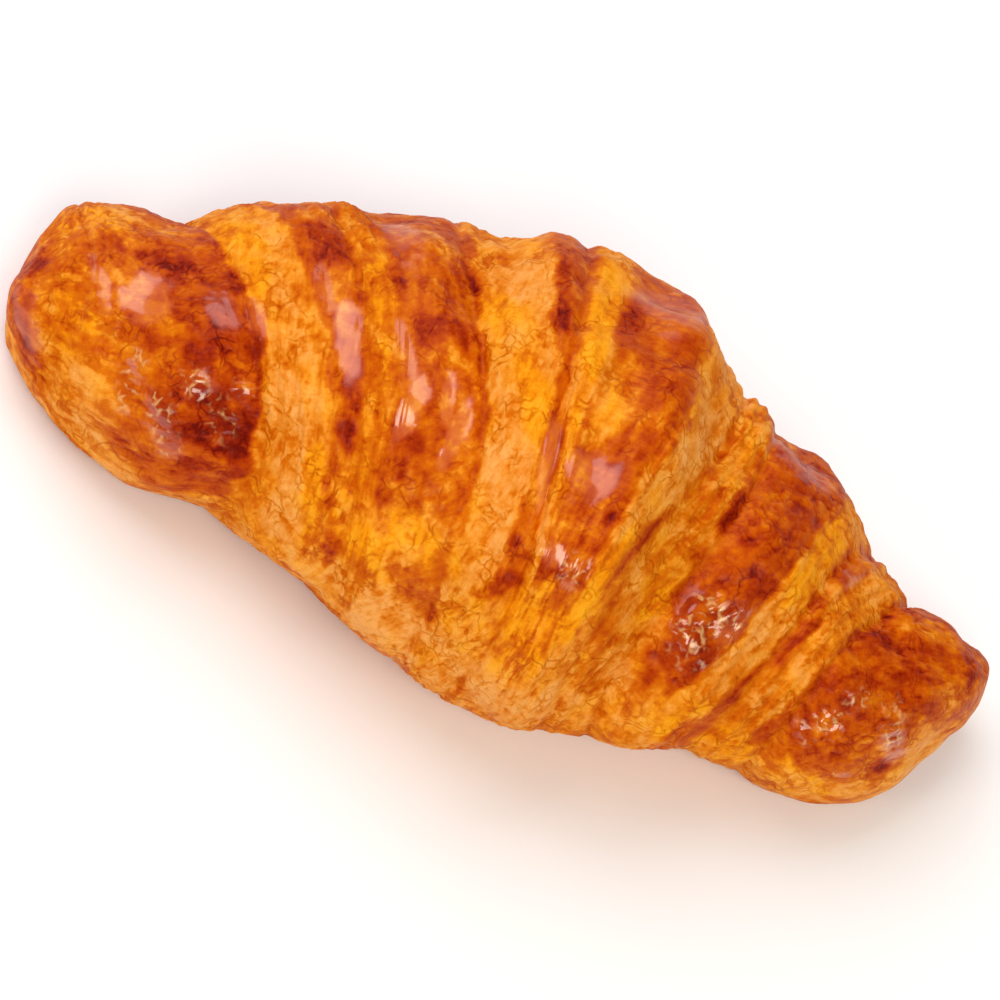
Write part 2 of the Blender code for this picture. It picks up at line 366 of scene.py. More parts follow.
# Where the pale dough is a deep yellow, in the form of PATCHES. Elsewhere, and below zero, it is peach.
GOLDEN = (
    (-44.0, 50, 2.0, 22, -0.3, 0.8),
    (-39.0, 116, 6.0, 14, 0.0, 0.9),
    (-30.0, 112, 2.4, 14, 0.0, 0.7),
    (-28.4, 88, 1.0, 14, 0.0, 0.6),
    (-26.8, 88, 0.8, 12, 0.0, -0.5),
    (-24.6, 28, 1.2, 16, 0.0, 0.8),
    (-27.6, 38, 1.6, 22, 0.0, -0.5),
    (-26.6, 12, 1.8, 10, 0.0, -0.7),
    (-19.2, 88, 0.9, 30, 0.0, 0.9),
    (-18.2, 19, 2.2, 7, 0.0, 1.0),
    (-12.8, 30, 4.0, 6, 0.0, 0.7),
    (-14.0, 1, 6.0, 11, 0.0, -0.7),
    (-3.8, 76, 2.6, 9, -1.0, 1.0),
    (-7.4, 100, 2.0, 8, 0.0, 0.6),
    (-6.6, 56, 2.8, 22, 0.0, -0.6),
    (-6.4, 114, 1.8, 9, 0.0, -0.9),
    (0.2, 100, 1.1, 26, 0.0, 1.0),
    (3.6, 84, 3.0, 9, 0.0, 0.4),
    (5.4, 28, 7.0, 13, 0.0, 1.2),
    (3.0, -4, 8.0, 11, 0.0, -0.7),
    (10.4, 44, 1.4, 16, 0.0, 0.9),
    (11.2, 94, 1.5, 22, 0.0, -0.5),
    (16.0, 50, 1.8, 12, 0.0, 0.6),
    (14.8, 20, 3.4, 12, 0.0, -0.5),
    (26.4, 92, 1.6, 22, 0.0, 0.9),
    (25.4, 42, 1.4, 18, 0.0, -0.4),
    (26.0, 8, 3.6, 8, 0.0, 0.9),
    (30.0, 16, 2.2, 12, 0.0, 0.7),
    (37.0, 116, 3.6, 8, 0.0, 0.6),
    (37.0, 6, 4.0, 12, 0.0, 0.5),
)

# The way that fine wrinkles and layers run: from which place along the ridge, in degrees from along the roll
# to round it, and how strong they are there.
GRAIN = (
    (LEFT_END, 100, 0.7),
    (-42.5, 45, 0.7),
    (-39.5, 18, 0.5),
    (-30.3, 78, 0.8),
    (-23.8, 75, 0.8),
    (-20.6, 88, 0.8),
    (-17.6, 42, 0.8),
    (-9.6, 66, 0.7),
    (-4.0, 76, 0.6),
    (-1.2, 86, 0.6),
    (1.3, 2, 0.6),
    (8.8, 86, 0.7),
    (12.8, 80, 0.9),
    (16.8, -15, 0.4),
    (24.2, 86, 0.5),
    (28.4, 84, 0.8),
    (33.3, -50, 0.6),
    (43.0, -80, 0.6),
)
GRAIN_BLEND = 0.5
GRAIN_SEED = 700
GRAIN_AT_TIPS = (0.35, 0.85)  # the end roundings between which it comes in from the tips

# The strokes along the grain: length and width (the 1 sets the rows of GRAIN apart), and how much of each.
RIDGE_SIZE = (5.5, 1.0, 1)
RIDGE_AMOUNT = 0.5
FIBRE_SIZE = (4.0, 0.7, 1)
FIBRE_AMOUNT = 0.5
FOLD_SIZE = (11.0, 1.9, 1)
FOLD_AMOUNT = 0.7

# The other patterns: size along the roll and across it in millimetres, seed, and octaves of rough noise.
PATTERNS = {
    "band_edges": ((2.6, 3.0, 3.0), 31, 4),
    "crease_stray": ((3.0, 4.0, 4.0), 33, 3),
    "crease_gaps": ((8.0, 4.0, 4.0), 35),
    "wrinkles": ((1.7, 2.2, 2.2), 61),
    "uneven": ((7.0, 7.0, 7.0), 65),
    "crinkles": ((0.8, 1.1, 1.1), 71),
    "bumps": ((1.3, 1.5, 1.5), 81, 2),
    "blisters": ((2.4, 2.6, 2.6), 85),
    "patch_edges": ((2.2, 2.6, 2.6), 91, 3),
    "mottle": ((3.4, 3.8, 3.8), 101, 4),
    "flecks": ((0.7, 1.3, 1.3), 121, 2),
    "pits": ((0.9, 0.9, 0.9), 131, 2),
    "golden_broad": ((6.0, 6.0, 6.0), 141),
    "golden_fine": ((1.6, 2.6, 2.6), 143),
    "clouds": ((1.5, 2.2, 2.2), 151, 3),
}

# Between which values of their noise these patterns go from nothing to their full strength.
BLISTER_EDGE = (0.22, 0.6)
CLOUD_EDGE = (-0.35, 0.35)
CREASE_EDGE = (-0.1, 0.5)
FLECK_EDGE = (0.20, 0.45)
PIT_EDGE = (0.42, 0.62)

# The sines of the angles between which the underside's browning gives way to the crust's, the fine relief
# comes in, and the points come close together.
UNDERSIDE_EDGE = (-0.85, -0.5)
FINE_EDGE = (-0.8, -0.3)
CLOSE_EDGE = (-0.8, -0.45)

# How far edges stray from their lines, and how soft they are, in millimetres or shares of a patch.
BAND_STRAY = 0.65
BAND_STROKE_STRAY = 0.30
BAND_START_BLEND = 0.25
BAND_END_BLEND = 0.35
CREASE_STRAY = 0.45
CREASE_LINE = 0.32
PATCH_STRAY = 0.42
PATCH_BLUR = 0.55
POOL_BLUR = 0.22

# The fine relief, in millimetres, that each pattern gives the cuts and the tops. The wrinkles and crinkles of
# the tops have a least height, and more of it by these patterns.
CUT_RELIEF = {"strokes": 0.19, "crinkles": 0.05, "bumps": 0.06, "flecks": 0.04}
TOP_RELIEF = {"strokes": 0.08, "bumps": 0.04, "blisters": 0.08}
LEAST_WRINKLE = 0.02
WRINKLE_RELIEF = {"uneven": 0.09, "glints": 0.06}
CRINKLE_RELIEF = {"uneven": 0.04, "glints": 0.10}
POOL_SMOOTHING = 0.85
PIT_DEPTH = 0.12
CREASE_LINE_DEPTH = 0.10

# How much browner (or, below zero, paler) each pattern makes the tops and the cuts. The wrinkles, crinkles
# and strokes come out darker in their hollows than on their crests, a painted shade.
TOP_TOAST_AND_SHADE = {
    "mottle": 0.20, "clouds": 0.20, "wrinkles": -0.05, "crinkles": -0.05, "strokes": -0.12, "flecks": -0.08,
}
CUT_TOAST_AND_SHADE = {"mottle": 0.15, "clouds": 0.14, "strokes": -0.13, "crinkles": -0.05, "flecks": -0.08}
# The creases and pits are painted darker, as shade.
HOLLOW_SHADE = {"crease": 0.16, "pits": 0.14}
# The pools are made paler under their painted sheen.
POOL_SHEEN_TOAST = -0.16
POOL_RIM_TOAST = 0.5
CUT_RIM_TOAST = 0.10
PATCH_LOSS_ON_CUTS = 0.55
UNDERSIDE_TOAST = 0.5
PALEST_UNEASED = 0.15
DARKEST_UNEASED = 0.8

# The mesh.
STATIONS = 392
AROUND = 254
CUT_CLOSENESS = 0.35                               # how much closer the rings lie on the cut edges
END_CLOSENESS = ((6, 0.6), (1.2, 3))               # and near the tips, with how far in from them
UNDERSIDE_SHARE = 0.22                             # how close the points lie on the hidden underside
NOISE_RADIUS = 16.0                                # the crust's patterns are laid on a roll of this radius
NOISE_GAIN = 1.7                                   # brings the noise to about -1 to 1
DIRECTIONS = 4096                                  # how many ways the noise draws from, a power of two
LATTICE_PRIMES = (73856093, 19349663, 83492791)    # which spread the lattice's corners over them

# Crust colours from pale dough to dark glaze, with the browning at which each is reached.
BROWN_COLOURS = (
    (0.30, (210, 111, 4)),
    (0.46, (197, 88, 0)),
    (0.60, (182, 70, 0)),
    (0.76, (163, 49, 0)),
    (0.90, (138, 29, 0)),
    (1.00, (108, 14, 0)),
)
PEACH_COLOURS = ((0.00, (236, 163, 82)), (0.16, (226, 139, 44)), *BROWN_COLOURS)
GOLDEN_COLOURS = ((0.00, (242, 164, 30)), (0.16, (231, 140, 6)), *BROWN_COLOURS)
# The salmon tint of the pools, a painted sheen of the lamps on the glaze.
POOL_SHEEN_COLOUR = (216, 112, 76)
# The cream of the glint lines, partly pale flake edges and partly a painted highlight.
GLINT_HIGHLIGHT_COLOUR = (246, 190, 120)

# Textures of the crust's material: noise and cells to the metre.
CRACKLE_SCALE = 520
CRACKLE_WARP_SCALE = 420
CRACKLE_WARP = 0.005
CRACKLE_PATCH_SCALE = 330
FINE_SCALE = 1100
GRAIN_SCALE = 3000
GLINT_LINE_SCALE = 820
ROUGHNESS_SCALE = 300
FIBRE_SCALE = (0.3, 1.8)      # along the grain and across it, to the millimetre

# The floor and the lamps: place in metres, width, height, power in watts, and colour.
FLOOR_REACH = 3.0
FLOOR_COLOUR = (0.93, 0.96, 0.97, 1)
LAMPS = {
    "window": ((-0.40, 0.30, 0.70), 0.95, 0.85, 5.9, (1.0, 0.93, 0.97)),
    "front_lamp": ((0.08, -0.5, 0.62), 0.30, 0.30, 2.3, (1.0, 0.90, 0.76)),
    "left_lamp": ((-0.52, -0.55, 0.34), 0.20, 0.20, 1.0, (1.0, 0.90, 0.74)),
    "right_lamp": ((0.60, -0.30, 0.44), 0.24, 0.24, 1.1, (1.0, 0.90, 0.74)),
    "back_wall": ((-0.1, 1.0, 0.13), 1.2, 0.24, 1.2, (0.95, 0.88, 1.0)),
}
LAMP_AIM = (0, 0, 0.015)
SURROUND_COLOUR = (0.98, 0.98, 1.0, 1)
SURROUND_STRENGTH = 0.33

# The camera: where it looks from and at, as the photograph shows the croissant.
CAMERA_AZIMUTH = -10.0
CAMERA_ELEVATION = 55.0
CAMERA_ROLL = 33.41
CAMERA_TARGET = (-0.00102, -0.00181, 0.012)
CAMERA_DISTANCE = 0.4
CAMERA_LENS = 161.33
CAMERA_SENSOR = 36


def through(points, column, x):
    """A smooth curve through the points' values: cubic pieces, each end with its neighbours' mean slope."""
    table = np.array(points)
    xs, values = table[:, 0], table[:, column]
    slopes = np.gradient(values, xs)
    i = np.clip(np.searchsorted(xs, x) - 1, 0, len(xs) - 2)
    gap = xs[i + 1] - xs[i]
    t = (x - xs[i]) / gap
    start = (2 * t**3 - 3 * t**2 + 1) * values[i] + (t**3 - 2 * t**2 + t) * gap * slopes[i]
    end = (3 * t**2 - 2 * t**3) * values[i + 1] + (t**3 - t**2) * gap * slopes[i + 1]
    return start + end


def smooth_step(low, high, x):
    """0 below low, 1 above high, and 3t^2 - 2t^3 between them."""
    t = np.clip((x - low) / (high - low), 0, 1)
    return t * t * (3 - 2 * t)


def bell(x, middle, width):
    """1 at the middle, falling as exp(-(distance / width)^2)."""
    return np.exp(-(((x - middle) / width) ** 2))


def noise(points, size, seed):
    """Gradient noise, about -1 to 1: random directions at the corners of a lattice with this cell size,
    blended by 6t^5 - 15t^4 + 10t^3 in each cell."""
    points = points / np.asarray(size, float)
    cell = np.floor(points).astype(np.int64)
    part = points - cell
    blend = part**3 * (part * (part * 6 - 15) + 10)
    draw = np.random.default_rng(seed)
    directions = draw.normal(size=(DIRECTIONS, 3))
    directions /= np.linalg.norm(directions, axis=1)[:, None]
    total = np.zeros(points.shape[:-1])
    for corner in itertools.product((0, 1), repeat=3):
        at = cell + corner
        index = np.bitwise_xor.reduce(at * LATTICE_PRIMES, axis=-1) & (DIRECTIONS - 1)
        share = np.prod(np.where(corner, blend, 1 - blend), axis=-1)
        total += share * (directions[index] * (part - corner)).sum(axis=-1)
    return total * NOISE_GAIN


def rough_noise(points, size, seed, octaves=3):
    """Noise with finer noise on it, each half the size and half the height of the last."""
    size = np.asarray(size, float)
    return sum(noise(points, size / 2**k, seed + k) / 2**k for k in range(octaves))


def end_rounding(station):
    """1 along the roll, falling to 0 at each end as a blunted quarter circle does."""
    left = np.clip((LEFT_END + LEFT_CAP - station) / LEFT_CAP, 0, 1)
    right = np.clip((station - RIGHT_END + RIGHT_CAP) / RIGHT_CAP, 0, 1)
    return ((1 - left**BLUNTNESS) * (1 - right**BLUNTNESS)) ** (1 / BLUNTNESS)


def unevenness(points, wave_length, seed):
    """A smooth random height at each point: the sum of waves in seeded random directions, as in the model."""
    draw = np.random.default_rng(seed)
    waves = 18
    directions = draw.normal(size=(waves, 3))
    directions /= np.linalg.norm(directions, axis=1)[:, None]
    lengths = wave_length * draw.uniform(0.7, 1.5, waves)
    offsets = draw.uniform(0, 2 * math.pi, waves)
    phase = points @ (directions * (2 * math.pi / lengths)[:, None]).T + offsets
    return np.sin(phase).sum(axis=-1) * math.sqrt(2 / waves)


def along_cut(station, foot, rim):
    """How far past the foot of a cut edge a station lies, towards its rim, and the same as a share of its
    width."""
    along = (station - foot) * math.copysign(1, rim - foot)
    return along, np.clip(along / abs(rim - foot), 0, 1)


def cut_edge_relief(station, angle, foot, rim, height, layers):
    """The step up from the foot of one cut edge to its rim, with its layers, fading out to either side."""
    along, t = along_cut(station, foot, rim)
    below = np.clip(-along, 0, None) / FOOT_FADE
    beyond = np.clip(along - abs(rim - foot), 0, None) / RIM_FADE
    depth = CREASE_DEPTH * min(1, height)
    height = height * (1 + STEP_CHANGE * np.sin(2 * angle + foot))
    step = height * (np.sin(t * math.pi / 2) - 0.5) * np.exp(-(below**2) - beyond**2)
    in_layer = (t * layers) % 1
    lips = np.interp(in_layer, (0, LAYER_STEP, 1), (-LAYER_LIP, LAYER_LIP, -LAYER_LIP)) * (t > 0) * (t < 1)
    crease = -depth * np.exp(-((along / CREASE_WIDTH) ** 2))
    return step + lips + crease


def lump_relief(x, angle):
    """The swellings and hollows of the outline, each a bell along the roll and round it."""
    total = np.zeros(np.shape(x))
    for place, middle, reach, height in LUMPS.values():
        turn = np.remainder(angle - math.radians(middle) + math.pi, 2 * math.pi) - math.pi
        total = total + height * np.exp(-(((x - place) / reach) ** 2) - (turn / LUMP_SPREAD) ** 2)
    return total


def above_tray(angle):
    """The share of the relief that shows: all of it high up, and little where the tray holds the dough."""
    climb = np.clip((np.sin(angle) - TRAY_START) / TRAY_SPAN, 0, 1)
    return RELIEF_AT_TRAY + (1 - RELIEF_AT_TRAY) * climb**2 * (3 - 2 * climb)


def swirl(station, angle, rounding):
    """The rolled-up turns on the blunt ends, a spiral groove: one plus the cosine of a phase that grows with
    the rounding and goes round with the angle."""
    at_end = np.clip((1 - rounding) / SWIRL_BLEND, 0, 1) * rounding
    phase = 2 * math.pi * SWIRL_TURNS * rounding - angle * np.sign(station)
    return -SWIRL_DEPTH * at_end * (1 + np.cos(phase))


def flatten(height):
    """Heights below the tray's level come up to 0, with a soft turn: a parabola between."""
    turn = (height + FLAT_ROUNDING) ** 2 / (4 * FLAT_ROUNDING)
    return np.where(height > FLAT_ROUNDING, height, np.where(height < -FLAT_ROUNDING, 0, turn))


def on_roll(station, angle):
    """Points on a plain roll with rounded ends, in millimetres, where the crust's patterns are worked out, so
    that they meet all round it and at its tips."""
    reach = NOISE_RADIUS * end_rounding(station)
    return np.stack((station, -reach * np.cos(angle), reach * np.sin(angle)), axis=-1)


def band_share(station, angle, strokes):
    """How far a place is on a pale cut band, 0 to 1, how browned that band is, and where across it the place
    lies. The bands' edges stray with noise and with the strokes."""
    roll = on_roll(station, angle)
    place = station + BAND_STRAY * rough_noise(roll, *PATTERNS["band_edges"]) + BAND_STROKE_STRAY * strokes
    degrees = np.degrees(angle)
    share = np.zeros(station.shape)
    browning = np.zeros(station.shape)
    across = np.zeros(station.shape)
    for name, rows in BANDS.items():
        angles, starts, ends = np.array(rows).T
        start = np.interp(degrees, angles, starts)
        end = np.interp(degrees, angles, ends)
        here = smooth_step(-BAND_START_BLEND, BAND_START_BLEND, place - start)
        here = here * (1 - smooth_step(-BAND_END_BLEND, BAND_END_BLEND, place - end))
        share = np.maximum(share, here)
        browning = browning + here * BAND_BROWNING[name]
        across = across + here * (place - start) / (end - start)
    return share, browning / np.maximum(share, 1e-6), across


def patch_share(station, angle, row, wobble, blur):
    """1 in one patch, falling to 0 outside it over the blur, with an edge that the wobble makes uneven."""
    place, middle, reach, spread, slant = row[:5]
    turn = np.degrees(angle) - middle
    away = np.hypot((station - place - slant * turn / 10) / reach, turn / spread)
    return 1 - smooth_step(1 - blur, 1 + 0.7 * blur, away + wobble)


def all_patches(station, angle, rows, wobble, blur=PATCH_BLUR):
    """The sum of the patches, each its share times its amount."""
    return sum(row[5] * patch_share(station, angle, row, wobble, blur) for row in rows)


def creases(station, angle):
    """1 in the thin gaps at the foot of the cut edges, which are sunk and painted darker as shade, 0
    elsewhere. They come and go along the edge.
    """
    roll = on_roll(station, angle)
    stray = CREASE_STRAY * rough_noise(roll, *PATTERNS["crease_stray"])
    open_share = smooth_step(*CREASE_EDGE, noise(roll, *PATTERNS["crease_gaps"]))
    total = 0
    for foot, rim, height, _ in CUT_EDGES.values():
        along, _ = along_cut(station + stray, foot, rim)
        total = total + bell(along, 0, CREASE_LINE) * min(1, height)
    return np.clip(total, 0, 1) * (0.2 + 0.8 * open_share)


def ridges(points, size, seed):
    """Winding ridges, about -1 to 1: one less 2.6 times the distance of warped noise from zero, with round
    tops."""
    warp = np.stack([0.5 * noise(points, 2.2, seed + 10 + k) for k in range(3)], axis=-1)
    return 1 - np.sqrt((2.6 * noise(points + warp, size, seed)) ** 2 + 0.08)


def along_grain(station, angle, place, way):
    """Points laid flat at the roll's width at one place, and turned: how far along the way and across it, in
    millimetres, with the way, which is in degrees, as the third number."""
    arc = through(OUTLINE, 1, place) * angle
    turn = math.radians(way)
    along = station * math.cos(turn) + arc * math.sin(turn)
    across = arc * math.cos(turn) - station * math.sin(turn)
    return np.stack((along, across, np.full(station.shape, way)), axis=-1)


def grain_shares(station):
    """For each row of GRAIN, its share at every ring: 1 from its place to the next row's, with soft steps
    between, and falling to 0 at the tips."""
    starts = [row[0] for row in GRAIN]
    steps = [smooth_step(at - GRAIN_BLEND, at + GRAIN_BLEND, station[:, 0]) for at in starts[1:]]
    steps = [np.ones(len(station)), *steps, np.zeros(len(station))]
    inside = smooth_step(*GRAIN_AT_TIPS, end_rounding(station[:, 0]))
    return np.array([(here - after) * inside for here, after in zip(steps, steps[1:])])


def grain_strokes(station, angle):
    """Strokes, from -1 in a gap to 1 on a wrinkle or a layer: ridges, fibres and broader folds, drawn out
    along the grain. Each row of GRAIN has strokes of its own, turned its way."""
    total = np.zeros(station.shape)
    for (place, way, strength), share in zip(GRAIN, grain_shares(station)):
        near = share > 0
        points = along_grain(station[near], angle[near], place, way)
        seed = GRAIN_SEED + 5 * way
        drawn = RIDGE_AMOUNT * ridges(points, RIDGE_SIZE, seed)
        drawn = drawn + FIBRE_AMOUNT * noise(points, FIBRE_SIZE, seed + 1)
        drawn = drawn + FOLD_AMOUNT * noise(points, FOLD_SIZE, seed + 2)
        total[near] += strength * np.sqrt(share[near])[:, None] * drawn
    return np.clip(total, -1, 1)


def grain_lays(station, angle):
    """For the even rows of GRAIN, then for the odd ones: points along the grain, and how strong it is. The
    points jump from row to row only where that strength is 0."""
    shares = grain_shares(station)
    strengths = np.array([row[2] for row in GRAIN])[:, None]
    found = []
    for first in (0, 1):
        starts = np.array([row[0] for row in GRAIN])[first::2]
        ends = np.array([row[0] for row in GRAIN[1:]] + [RIGHT_END])[first::2]
        changes = (ends[:-1] + starts[1:]) / 2
        nearest = np.searchsorted(changes, station[:, 0]) * 2 + first
        lay = np.zeros((*station.shape, 3))
        for order in range(first, len(GRAIN), 2):
            here = nearest == order
            lay[here] = along_grain(station[here], angle[here], *GRAIN[order][:2])
        strength = (shares * strengths)[first::2].sum(axis=0)
        found += [lay, np.broadcast_to(strength[:, None], station.shape)]
    return found


def fields(station, angle):
    """The patterns of the crust, by name: arrays over the whole grid, the same for relief and for colour."""
    roll = on_roll(station, angle)
    wobble = PATCH_STRAY * rough_noise(roll, *PATTERNS["patch_edges"])
    strokes = grain_strokes(station, angle)
    share, band_toast, across = band_share(station, angle, strokes)
    found = {"strokes": strokes, "band": share, "band_toast": band_toast, "across": across}
    found["crease"] = creases(station, angle)
    found["wrinkles"] = ridges(roll, *PATTERNS["wrinkles"])
    found["crinkles"] = ridges(roll, *PATTERNS["crinkles"])
    found["bumps"] = rough_noise(roll, *PATTERNS["bumps"])
    found["blisters"] = smooth_step(*BLISTER_EDGE, noise(roll, *PATTERNS["blisters"]))
    found["pools"] = np.clip(all_patches(station, angle, SMOOTH_GLAZE, wobble * 0.9, POOL_BLUR), 0, 1)
    found["glints"] = np.clip(all_patches(station, angle, GLINTS, wobble), 0, 1)
    golden = 0.35 + 0.5 * noise(roll, *PATTERNS["golden_broad"]) + 0.6 * noise(roll, *PATTERNS["golden_fine"])
    golden = golden + all_patches(station, angle, GOLDEN, wobble)
    found["golden"] = np.clip(golden, 0, 1)
    found["even_lay"], found["even"], found["odd_lay"], found["odd"] = grain_lays(station, angle)
    found["uneven"] = 0.5 + 0.5 * noise(roll, *PATTERNS["uneven"])
    found["patches"] = all_patches(station, angle, PATCHES, wobble)
    found["mottle"] = rough_noise(roll, *PATTERNS["mottle"])
    found["clouds"] = smooth_step(*CLOUD_EDGE, rough_noise(roll, *PATTERNS["clouds"])) - 0.5
    found["flecks"] = smooth_step(*FLECK_EDGE, rough_noise(roll, *PATTERNS["flecks"]))
    found["pits"] = smooth_step(*PIT_EDGE, rough_noise(roll, *PATTERNS["pits"]))
    return found


def with_patterns(values, amounts, found):
    """The values, and each named pattern times its amount on top of them."""
    for name, amount in amounts.items():
        values = values + amount * found[name]
    return values


def fine_relief(found):
    """The relief that is finer than the model's, in millimetres: layer lines on the cuts, and wrinkles,
    crinkles and blisters on the tops, smoothed in the pools of glaze and sharper where it glints."""
    layers = with_patterns(0, CUT_RELIEF, found)
    wrinkles = with_patterns(LEAST_WRINKLE, WRINKLE_RELIEF, found) * found["wrinkles"]
    crinkles = with_patterns(LEAST_WRINKLE, CRINKLE_RELIEF, found) * found["crinkles"]
    tops = with_patterns(wrinkles + crinkles, TOP_RELIEF, found)
    tops = tops * (1 - POOL_SMOOTHING * found["pools"] * (1 - found["glints"]))
    holes = PIT_DEPTH * found["pits"] * (1 - found["pools"]) + CREASE_LINE_DEPTH * found["crease"]
    return found["band"] * layers + (1 - found["band"]) * tops - holes


def crust_points(station, angle, fine):
    """Points of the crust, in millimetres: rings of the outline's half width, lower than wide, which lean
    along the roll and bend to the back, with the model's relief and the fine relief added outwards."""
    rounding = end_rounding(station)
    stray = WANDER * np.sin(3 * angle + station / 5)
    x = station + (through(LEAN, 1, station) * np.cos(angle) + stray) * rounding
    at = np.clip(x, LEFT_END, RIGHT_END)
    half_width = through(OUTLINE, 1, at)
    bend = through(OUTLINE, 2, at)
    centre_height = CENTRE_HEIGHT_SHARE * half_width
    smooth = np.stack((x, -half_width * np.cos(angle), half_width * np.sin(angle)), axis=-1)
    relief = sum(cut_edge_relief(station, angle, *edge) for edge in CUT_EDGES.values())
    for order, (wave_length, height) in enumerate(BLISTERS):
        relief = relief + height * unevenness(smooth, wave_length, BLISTER_SEED + order)
    relief = relief * above_tray(angle) + lump_relief(x, angle)
    relief = relief + fine * smooth_step(*FINE_EDGE, np.sin(angle))
    relief = relief * rounding + swirl(station, angle, rounding)
    y = bend - (half_width * rounding + relief) * np.cos(angle)
    z = centre_height + (RISE_SHARE * half_width * rounding + relief) * np.sin(angle)
    return np.stack((x, y, flatten(z)), axis=-1)


def browning(station, angle, found):
    """How browned the crust is, from 0, pale, to 1, dark: the tops by TOPS and less low down, the bands by
    their own value, then the patterns and patches. It also carries painted shade, darker in the creases, the
    pits and the hollows of wrinkles and layers, and pools made paler under their painted sheen. The darkest
    and the palest places are drawn in by half."""
    height = np.sin(angle)
    top = through(TOPS, 1, station) * (0.55 + 0.45 * smooth_step(-0.3, 0.5, height))
    top = with_patterns(top, TOP_TOAST_AND_SHADE, found)
    top = top + POOL_RIM_TOAST * found["pools"] * (1 - found["pools"]) + POOL_SHEEN_TOAST * found["pools"]
    cut = with_patterns(found["band_toast"], CUT_TOAST_AND_SHADE, found) + CUT_RIM_TOAST * (found["across"] - 0.5) ** 2
    patches = found["patches"] * (1 - PATCH_LOSS_ON_CUTS * found["band"])
    toast = top * (1 - found["band"]) + cut * found["band"] + patches
    toast = with_patterns(toast, HOLLOW_SHADE, found)
    under = 1 - smooth_step(*UNDERSIDE_EDGE, height)
    toast = toast * (1 - under) + UNDERSIDE_TOAST * under
    toast = np.where(toast > DARKEST_UNEASED, DARKEST_UNEASED + 0.5 * (toast - DARKEST_UNEASED), toast)
    toast = np.where(toast < PALEST_UNEASED, PALEST_UNEASED + 0.5 * (toast - PALEST_UNEASED), toast)
    return np.clip(toast, 0, 1)


def ring_stations():
    """Stations along the ridge: even steps of a running sum that counts the cut edges and the ends more, by
    a bump for each cut edge and a falling exponential from each tip."""
    fine = np.linspace(LEFT_END, RIGHT_END, 8001)
    weight = np.ones(fine.shape)
    for foot, rim, *_ in CUT_EDGES.values():
        low, high = min(foot, rim), max(foot, rim)
        past_low = smooth_step(low - 1.5, low - 0.5, fine)
        past_high = smooth_step(high + 0.5, high + 1.5, fine)
        weight += CUT_CLOSENESS * past_low * (1 - past_high)
    ends = np.minimum(fine - LEFT_END, RIGHT_END - fine)
    weight += sum(amount * np.exp(-ends / reach) for amount, reach in END_CLOSENESS)
    total = np.cumsum(weight)
    steps = np.linspace(total[0], total[-1], STATIONS + 2)[1:-1]
    return np.interp(steps, total, fine)


def ring_angles():
    """Angles round a ring, from the underside (-90) once round: close together except on the underside."""
    fine = np.linspace(-math.pi / 2, 3 * math.pi / 2, 4001)
    weight = UNDERSIDE_SHARE + (1 - UNDERSIDE_SHARE) * smooth_step(*CLOSE_EDGE, np.sin(fine))
    total = np.cumsum(weight)
    steps = np.linspace(total[0], total[-1], AROUND + 1)[:-1]
    return np.interp(steps, total, fine)


def closed_mesh(name, rings, tips):
    """A mesh of rings of points joined by four-sided faces, and each end ring to its own tip by triangles."""
    count, around = rings.shape[:2]
    points = np.concatenate((rings.reshape(-1, 3), tips))
    i = np.arange(count - 1)[:, None] * around
    k = np.arange(around)[None, :]
    after = (k + 1) % around
    quads = np.stack((i + k, i + after, i + around + after, i + around + k), axis=-1).reshape(-1, 4)
    k, after = k[0], after[0]
    last = (count - 1) * around
    left = np.stack((np.full(around, count * around), after, k), axis=-1)
    right = np.stack((np.full(around, count * around + 1), last + k, last + after), axis=-1)
    fans = np.concatenate((left, right))
    mesh = bpy.data.meshes.new(name)
    mesh.vertices.add(len(points))
    mesh.vertices.foreach_set("co", points.astype(np.float32).ravel())
    corners = np.concatenate((quads.ravel(), fans.ravel()))
    sizes = np.concatenate((np.full(len(quads), 4), np.full(len(fans), 3)))
    mesh.loops.add(len(corners))
    mesh.loops.foreach_set("vertex_index", corners.astype(np.int32))
    mesh.polygons.add(len(sizes))
    mesh.polygons.foreach_set("loop_start", (np.cumsum(sizes) - sizes).astype(np.int32))
    mesh.update(calc_edges=True)
    mesh.validate()
    mesh.shade_smooth()
    return mesh


def set_value(mesh, name, values):
    """A number for each point of the mesh, which the material reads by name. A tip's is the mean of the ring
    beside it."""
    attribute = mesh.attributes.new(name, "FLOAT", "POINT")
    values = np.append(values.ravel(), values[[0, -1]].mean(axis=1))
    attribute.data.foreach_set("value", values.astype(np.float32))


def set_place(mesh, name, places):
    """The same for three numbers at each point. A tip's are those of one point of the ring beside it."""
    attribute = mesh.attributes.new(name, "FLOAT_VECTOR", "POINT")
    places = np.concatenate((places.reshape(-1, 3), places[[0, -1], 0]))
    attribute.data.foreach_set("vector", places.astype(np.float32).ravel())


def make_crust():
    """The whole crust, moved so that its box is over the model's box."""
    station, angle = np.broadcast_arrays(ring_stations()[:, None], ring_angles()[None, :])
    found = fields(station, angle)
    rings = crust_points(station, angle, fine_relief(found))
    tips = crust_points(np.array([LEFT_END, RIGHT_END]), np.zeros(2), np.zeros(2))
    low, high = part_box("croissant")
    model_middle = (np.array(low) + np.array(high)) / 2 / MM
    lowest = rings.reshape(-1, 3).min(axis=0)
    highest = rings.reshape(-1, 3).max(axis=0)
    move = (model_middle - (lowest + highest) / 2) * (1, 1, 0)
    mesh = closed_mesh("crust", (rings + move) * MM, (tips + move) * MM)
    found["toast"] = browning(station, angle, found)
    for name in ("toast", "band", "pools", "glints", "golden", "even", "odd"):
        set_value(mesh, name, found[name])
    for name in ("even_lay", "odd_lay"):
        set_place(mesh, name, found[name])
    crust = bpy.data.objects.new("crust", mesh)
    bpy.context.scene.collection.objects.link(crust)
    return crust


